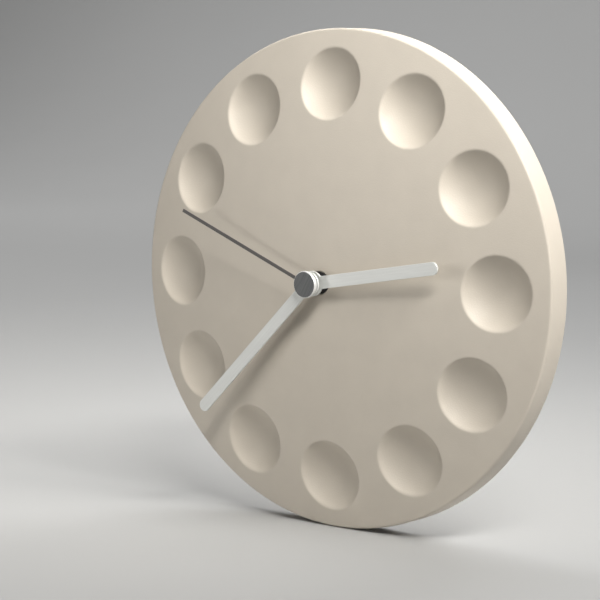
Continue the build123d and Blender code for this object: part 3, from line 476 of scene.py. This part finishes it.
# Movement case: a front and a rear half in black polystyrene that snap together, a middle plate between
# them that carries the arbors, and a rubber washer in front that takes up the play behind the dial.
BLACK = ((0.012, 0.012, 0.013), (0.022, 0.022, 0.023))
RUBBER = ((0.010, 0.010, 0.010), (0.018, 0.018, 0.018))
movement_black = finish("movement black", BLACK, roughness=(0.38, 0.5), scale=1800.0, depth=0.000012)
dress(movement_black, "movement_front_case", "movement_rear_case", "middle_plate")
washer_rubber = finish("washer rubber", RUBBER, roughness=(0.75, 0.9), scale=3000.0, depth=0.00002)
dress(washer_rubber, "rubber_washer")

# Going train: moulded acetal wheels, white but for the black setting wheels, and the turned steel arbor
# of the seconds wheel. The wheels drop over their arbors between the middle plate and the halves.
ACETAL = ((0.70, 0.69, 0.65), (0.78, 0.77, 0.73))
DARK_ACETAL = ((0.02, 0.02, 0.021), (0.035, 0.035, 0.036))
STEEL = ((0.50, 0.50, 0.50), (0.60, 0.60, 0.60))
white_wheels = ("rotor_pinion", "intermediate_wheel", "seconds_wheel", "third_wheel", "hour_wheel")
dark_wheels = ("centre_wheel", "minute_tube", "minute_works_wheel", "setting_knob")
gear_white = finish("gear white", ACETAL, roughness=(0.35, 0.45), scale=2200.0, depth=0.000006)
dress(gear_white, *white_wheels)
gear_black = finish("gear black", DARK_ACETAL, roughness=(0.35, 0.48), scale=2200.0, depth=0.000006)
dress(gear_black, *dark_wheels)
arbor_steel = finish(
    "arbor steel",
    STEEL,
    roughness=(0.2, 0.32),
    scale=1500.0,
    depth=0.000002,
    metallic=1.0,
    stretch=(1.0, 20.0, 1.0),
)
dress(arbor_steel, "seconds_arbor")

# Stepping motor and circuit: a magnet on the rotor between two pressed soft-iron plates, a coil of fine
# enamelled copper wire on a plastic bobbin, and a board with the sealed chip and the quartz crystal.
FERRITE = ((0.035, 0.033, 0.031), (0.055, 0.052, 0.05))
IRON = ((0.38, 0.37, 0.35), (0.48, 0.47, 0.45))
COPPER = ((0.62, 0.25, 0.10), (0.75, 0.33, 0.15))
BOARD = ((0.03, 0.14, 0.05), (0.045, 0.19, 0.07))
SEAL = ((0.008, 0.008, 0.008), (0.016, 0.016, 0.016))
CAN = ((0.58, 0.57, 0.55), (0.66, 0.65, 0.63))
magnet_dark = finish(
    "magnet dark", FERRITE, roughness=(0.5, 0.65), scale=2500.0, depth=0.00001, metallic=0.2
)
dress(magnet_dark, "rotor_magnet")
soft_iron = finish(
    "soft iron",
    IRON,
    roughness=(0.32, 0.46),
    scale=1200.0,
    depth=0.000004,
    metallic=1.0,
    stretch=(12.0, 1.0, 1.0),
)
dress(soft_iron, "stator_left", "stator_right", "coil_core")
bobbin_plastic = finish("bobbin plastic", ACETAL, roughness=(0.4, 0.5), scale=2200.0, depth=0.000006)
dress(bobbin_plastic, "coil_bobbin")
copper_wire = finish(
    "copper wire",
    COPPER,
    roughness=(0.28, 0.4),
    scale=9000.0,
    depth=0.00003,
    metallic=0.9,
    stretch=(1.0, 25.0, 25.0),
)
dress(copper_wire, "coil_winding")
board_green = finish("board green", BOARD, roughness=(0.3, 0.45), scale=1400.0, depth=0.00001)
dress(board_green, "circuit_board")
chip_resin = finish("chip seal", SEAL, roughness=(0.15, 0.35), scale=900.0, depth=0.00002)
dress(chip_resin, "chip_seal")
crystal_can = finish("crystal can", CAN, roughness=(0.18, 0.3), scale=900.0, depth=0.000003, metallic=1.0)
dress(crystal_can, "quartz_crystal")

# Battery: one AA cell, a drawn steel can in a plain shrunk film sleeve. It lies in the open bay of the
# rear half between two bent contacts of nickel-plated spring strip.
SLEEVE = ((0.05, 0.052, 0.056), (0.07, 0.072, 0.078))
contact_strip = finish(
    "contact strip", NICKEL, roughness=(0.22, 0.36), scale=1500.0, depth=0.000003, metallic=1.0
)
dress(contact_strip, "positive_contact")
contact_spring = finish(
    "contact spring", NICKEL, roughness=(0.26, 0.4), scale=1500.0, depth=0.000003, metallic=1.0
)
dress(contact_spring, "negative_contact")
cell_can = finish("cell can", CAN, roughness=(0.2, 0.32), scale=1100.0, depth=0.000003, metallic=1.0)
dress(cell_can, "battery_cell")
cell_sleeve = finish(
    "cell sleeve", SLEEVE, roughness=(0.3, 0.42), scale=1600.0, depth=0.000004, stretch=(8.0, 1.0, 1.0)
)
dress(cell_sleeve, "battery_sleeve")

# Hands: the hour and minute hands are blanked from aluminium strip and sprayed silver, each riveted to a
# hub; the second hand is dark grey. A turned cap on it covers the centre, its face brushed and painted
# dark grey, partly its own grey and partly a painted dark reflection, and its side painted bright as a
# painted highlight.
HOUR_ANGLE = radians(80.9)
MINUTE_ANGLE = radians(225.5)
SECOND_ANGLE = radians(292.5)
SILVER = ((0.68, 0.69, 0.67), (0.80, 0.81, 0.79))
SECOND_GREY = ((0.088, 0.082, 0.079), (0.118, 0.110, 0.106))
CAP_GREY = ((0.060, 0.064, 0.066), (0.180, 0.184, 0.186))
# Colour of the painted highlight on the cap's side and chamfer.
PAINTED_EDGE_HIGHLIGHT = (0.86, 0.86, 0.85)
ALONG = (25.0, 1.0, 1.0)
BRUSH_SCALE = 4000.0
BRUSH_DEPTH = 0.000008
BRUSH_GLOSS = (0.4, 0.52)
BRUSH_METAL = 0.3
BRUSH_BREADTH = 1.5
SECOND_GLOSS = (0.4, 0.5)
SECOND_BREADTH = 3.0
CAP_BRUSHING = radians(-60)
FACE_MARGIN = 0.00005
quarter = radians(90)


def painted_highlight_past(material, level, colour):
    """Past a level along the hand axis the material is painted bright: a painted highlight on the cap's
    side.
    """
    nodes, links = material.node_tree.nodes, material.node_tree.links
    shader = nodes["Principled BSDF"]
    place = nodes.new("ShaderNodeTexCoord")
    split = nodes.new("ShaderNodeSeparateXYZ")
    past = nodes.new("ShaderNodeMath")
    past.operation = "GREATER_THAN"
    past.inputs[1].default_value = level
    shade = nodes.new("ShaderNodeMix")
    shade.data_type = "RGBA"
    shade.inputs["B"].default_value = (*colour, 1.0)
    links.new(place.outputs["Object"], split.inputs["Vector"])
    links.new(split.outputs["Y"], past.inputs[0])
    links.new(past.outputs["Value"], shade.inputs["Factor"])
    links.new(shader.inputs["Base Color"].links[0].from_socket, shade.inputs["A"])
    links.new(shade.outputs["Result"], shader.inputs["Base Color"])
    return material


def blade_finish(name, colours, gloss, angle, breadth):
    """Finish of a hand's blade, brushed along the blade, which points at an angle from twelve o'clock."""
    return finish(
        name, colours, gloss, BRUSH_SCALE, BRUSH_DEPTH, BRUSH_METAL, ALONG, angle - quarter, breadth
    )


hour_silver = blade_finish("hour hand silver", SILVER, BRUSH_GLOSS, HOUR_ANGLE, BRUSH_BREADTH)
minute_silver = blade_finish("minute hand silver", SILVER, BRUSH_GLOSS, MINUTE_ANGLE, BRUSH_BREADTH)
second_grey = blade_finish("second hand grey", SECOND_GREY, SECOND_GLOSS, SECOND_ANGLE, SECOND_BREADTH)
cap_grey = finish(
    "cap grey",
    CAP_GREY,
    roughness=(0.34, 0.46),
    scale=7000.0,
    depth=0.000012,
    metallic=0.4,
    stretch=ALONG,
    turn=CAP_BRUSHING,
    breadth=2.5,
)
cap_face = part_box("second_hand_cap")[0].y
dress(hour_silver, "hour_hand")
dress(minute_silver, "minute_hand")
dress(second_grey, "second_hand")
hub_silver = finish(
    "hub silver", SILVER, roughness=(0.3, 0.42), scale=2500.0, depth=0.000002, metallic=0.4
)
dress(hub_silver, "hour_hand_hub", "minute_hand_hub")
# Painted highlight and painted dark reflection: the cap's face is dark grey, and its side past the face is
# painted bright.
dress(painted_highlight_past(cap_grey, cap_face + FACE_MARGIN, PAINTED_EDGE_HIGHLIGHT), "second_hand_cap")

# Floor and backdrop: one pale paper sweep under and behind the clock, which runs up at the back in a wide
# bend. It belongs to the studio and is no part of the clock.
FLOOR_HEIGHT = cad_box[0].z
FLOOR_FRONT = -3.0
FLOOR_BACK = 2.2
SWEEP_RADIUS = 0.8
SWEEP_HEIGHT = 2.6
SWEEP_WIDTH = 8.0
SWEEP_STEPS = 16
SWEEP_SHARP_ANGLE = radians(60)
sweep_turn = np.linspace(0, np.pi / 2, SWEEP_STEPS)
bend_y = FLOOR_BACK - SWEEP_RADIUS * (1 - np.sin(sweep_turn))
bend_z = SWEEP_RADIUS * (1 - np.cos(sweep_turn))
sweep_y = np.concatenate([[FLOOR_FRONT], bend_y, [FLOOR_BACK]])
sweep_z = np.concatenate([[0.0], bend_z, [SWEEP_HEIGHT]]) + FLOOR_HEIGHT
sweep_x = np.array([-SWEEP_WIDTH / 2, SWEEP_WIDTH / 2])
sweep_points = np.stack(
    [
        np.broadcast_to(sweep_x, (len(sweep_y), 2)),
        np.broadcast_to(sweep_y[:, None], (len(sweep_y), 2)),
        np.broadcast_to(sweep_z[:, None], (len(sweep_y), 2)),
    ],
    -1,
).reshape(-1, 3)
sweep = surface("floor_sweep", [(sweep_points, grid_quads(len(sweep_y), 2, False))], SWEEP_SHARP_ANGLE)
PAPER = ((0.43, 0.43, 0.425), (0.46, 0.46, 0.455))
sweep.data.materials.append(finish("sweep paper", PAPER, roughness=(0.8, 0.9), scale=60.0, depth=0.0001))

# Studio light: soft boxes with honeycomb grids, so that they light the clock and little of the floor.
# The key, rim and side lamps stand high on the right and a weak one in front on the left. Two lamps
# behind, one for the backdrop and one for the rear of the clock, keep the sweep pale.
UPPER_DIAL = Vector((0.0, 0.0, 0.10))
BACKDROP = Vector((-1.2, 1.4, FLOOR_HEIGHT))
BACKDROP_LAMP_PLACE = Vector((-1.2, 1.1, 2.2))
GRID_BEAM = 45.0
BACKDROP_BEAM = 130.0
REAR_BEAM = 120.0
WARM_WHITE = (1.0, 0.985, 0.955)
WHITE = (1.0, 1.0, 1.0)
ROOM_TINT = (0.9, 0.92, 0.95)
ROOM_STRENGTH = 0.03


def around(turn, rise, distance=1.0):
    """Point at a distance from the hand axis, to the right of the front by a turn and up by a rise."""
    across, up = radians(turn), radians(rise)
    return distance * Vector((np.sin(across) * np.cos(up), -np.cos(across) * np.cos(up), np.sin(up)))


def lamp(name, place, size, power, target=UPPER_DIAL, beam=GRID_BEAM, colour=WARM_WHITE):
    """Soft box of a width and a height at a place, turned to a target, its beam an angle in degrees."""
    light = bpy.data.lights.new(name, "AREA")
    light.shape = "RECTANGLE"
    light.size, light.size_y = size
    light.spread = radians(beam)
    light.energy = power
    light.color = colour
    holder = bpy.data.objects.new(name, light)
    holder.location = place
    holder.rotation_euler = (target - place).to_track_quat("-Z", "Y").to_euler()
    bpy.context.scene.collection.objects.link(holder)


lamp("key_lamp", around(turn=50.0, rise=42.0), size=(0.4, 0.14), power=0.52)
lamp("rim_lamp", around(turn=75.0, rise=45.0), size=(0.3, 0.16), power=0.49)
lamp("side_lamp", around(turn=94.0, rise=43.0), size=(0.3, 0.3), power=0.37)
lamp("left_lamp", around(turn=-32.0, rise=8.0), size=(0.28, 0.28), power=0.128)
lamp(
    "backdrop_lamp",
    BACKDROP_LAMP_PLACE,
    size=(2.0, 2.0),
    power=28.0,
    target=BACKDROP,
    beam=BACKDROP_BEAM,
    colour=WHITE,
)
rear_lamp_place = around(turn=180.0, rise=45.0, distance=1.2)
lamp("rear_lamp", rear_lamp_place, size=(0.6, 0.6), power=2.0, beam=REAR_BEAM, colour=WHITE)
room = bpy.data.worlds.new("room")
room.use_nodes = True
room.node_tree.nodes["Background"].inputs["Color"].default_value = (*ROOM_TINT, 1.0)
room.node_tree.nodes["Background"].inputs["Strength"].default_value = ROOM_STRENGTH
bpy.context.scene.world = room
bpy.context.scene.view_settings.view_transform = "Standard"

# Camera: a long lens, a little above the hand axis and well to the right, as the picture was taken. It is
# aimed at a point just left of the hand axis and below it.
CAMERA_PLACE = Vector((0.4199, -0.56325, 0.06818))
CAMERA_AIM = Vector((-0.00871, -0.021, -0.00666))
LENS = 118.13
SENSOR_WIDTH = 36.0
camera = bpy.data.cameras.new("camera")
camera.lens = LENS
camera.sensor_width = SENSOR_WIDTH
holder = bpy.data.objects.new("camera", camera)
holder.location = CAMERA_PLACE
holder.rotation_euler = (CAMERA_AIM - CAMERA_PLACE).to_track_quat("-Z", "Y").to_euler()
bpy.context.scene.collection.objects.link(holder)
bpy.context.scene.camera = holder
